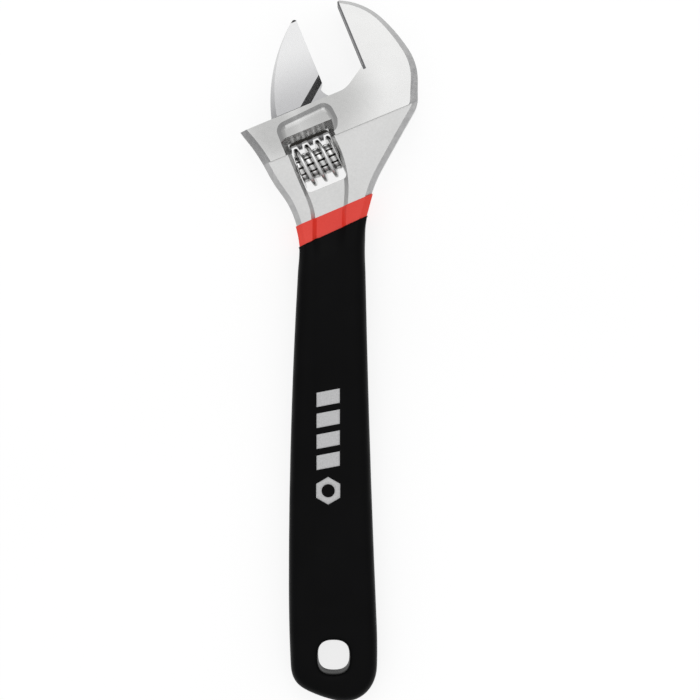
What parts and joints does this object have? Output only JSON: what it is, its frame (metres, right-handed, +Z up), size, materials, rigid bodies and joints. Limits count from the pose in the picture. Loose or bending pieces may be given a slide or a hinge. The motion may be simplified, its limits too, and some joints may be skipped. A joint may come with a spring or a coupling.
{
  "type": "adjustable wrench",
  "caption": "Adjustable wrench with an angled head, a worm-driven sliding jaw in a toothed rail bore, and a two-colour dipped handle with a hanging hole.",
  "frame": {"origin": "centre of the base of the bounding box, where the wrench lies flat on its boss and grip", "axes": "+X across the handle to the right, +Y along the handle towards the jaws, +Z up through the thickness"},
  "size_m": [0.0645, 0.2552, 0.016],
  "materials": {
    "satin_steel": "satin chrome over fine blasted steel",
    "bright_steel": "bright turned steel",
    "red_pvc": "smooth dipped vinyl",
    "black_pvc": "satin dipped vinyl",
    "pale_print": "pad-printed mark"
  },
  "bodies": {
    "frame": {"forged_body": "satin_steel", "red_under_dip": "red_pvc", "black_grip": "black_pvc", "worm_pin": "bright_steel", "worm_spring": "bright_steel"},
    "jaw": {"movable_jaw": "satin_steel"},
    "worm": {"adjusting_worm": "bright_steel"}
  },
  "joints": [
    {"name": "jaw_slide", "type": "slide", "parent": "frame", "child": "jaw", "axis": [0.9239, 0.3827, 0], "range_m": [-0.0118, 0.0161]},
    {"name": "worm_spin", "type": "hinge", "parent": "frame", "child": "worm", "pos_m": [-0.00403, 0.06896, 0.008], "axis": [0.9239, 0.3827, 0], "range_deg": [-1390, 1020]}
  ],
  "couplings": [
    {"joint": "worm_spin", "follows": "jaw_slide", "rad_per_m": -1496}
  ]
}
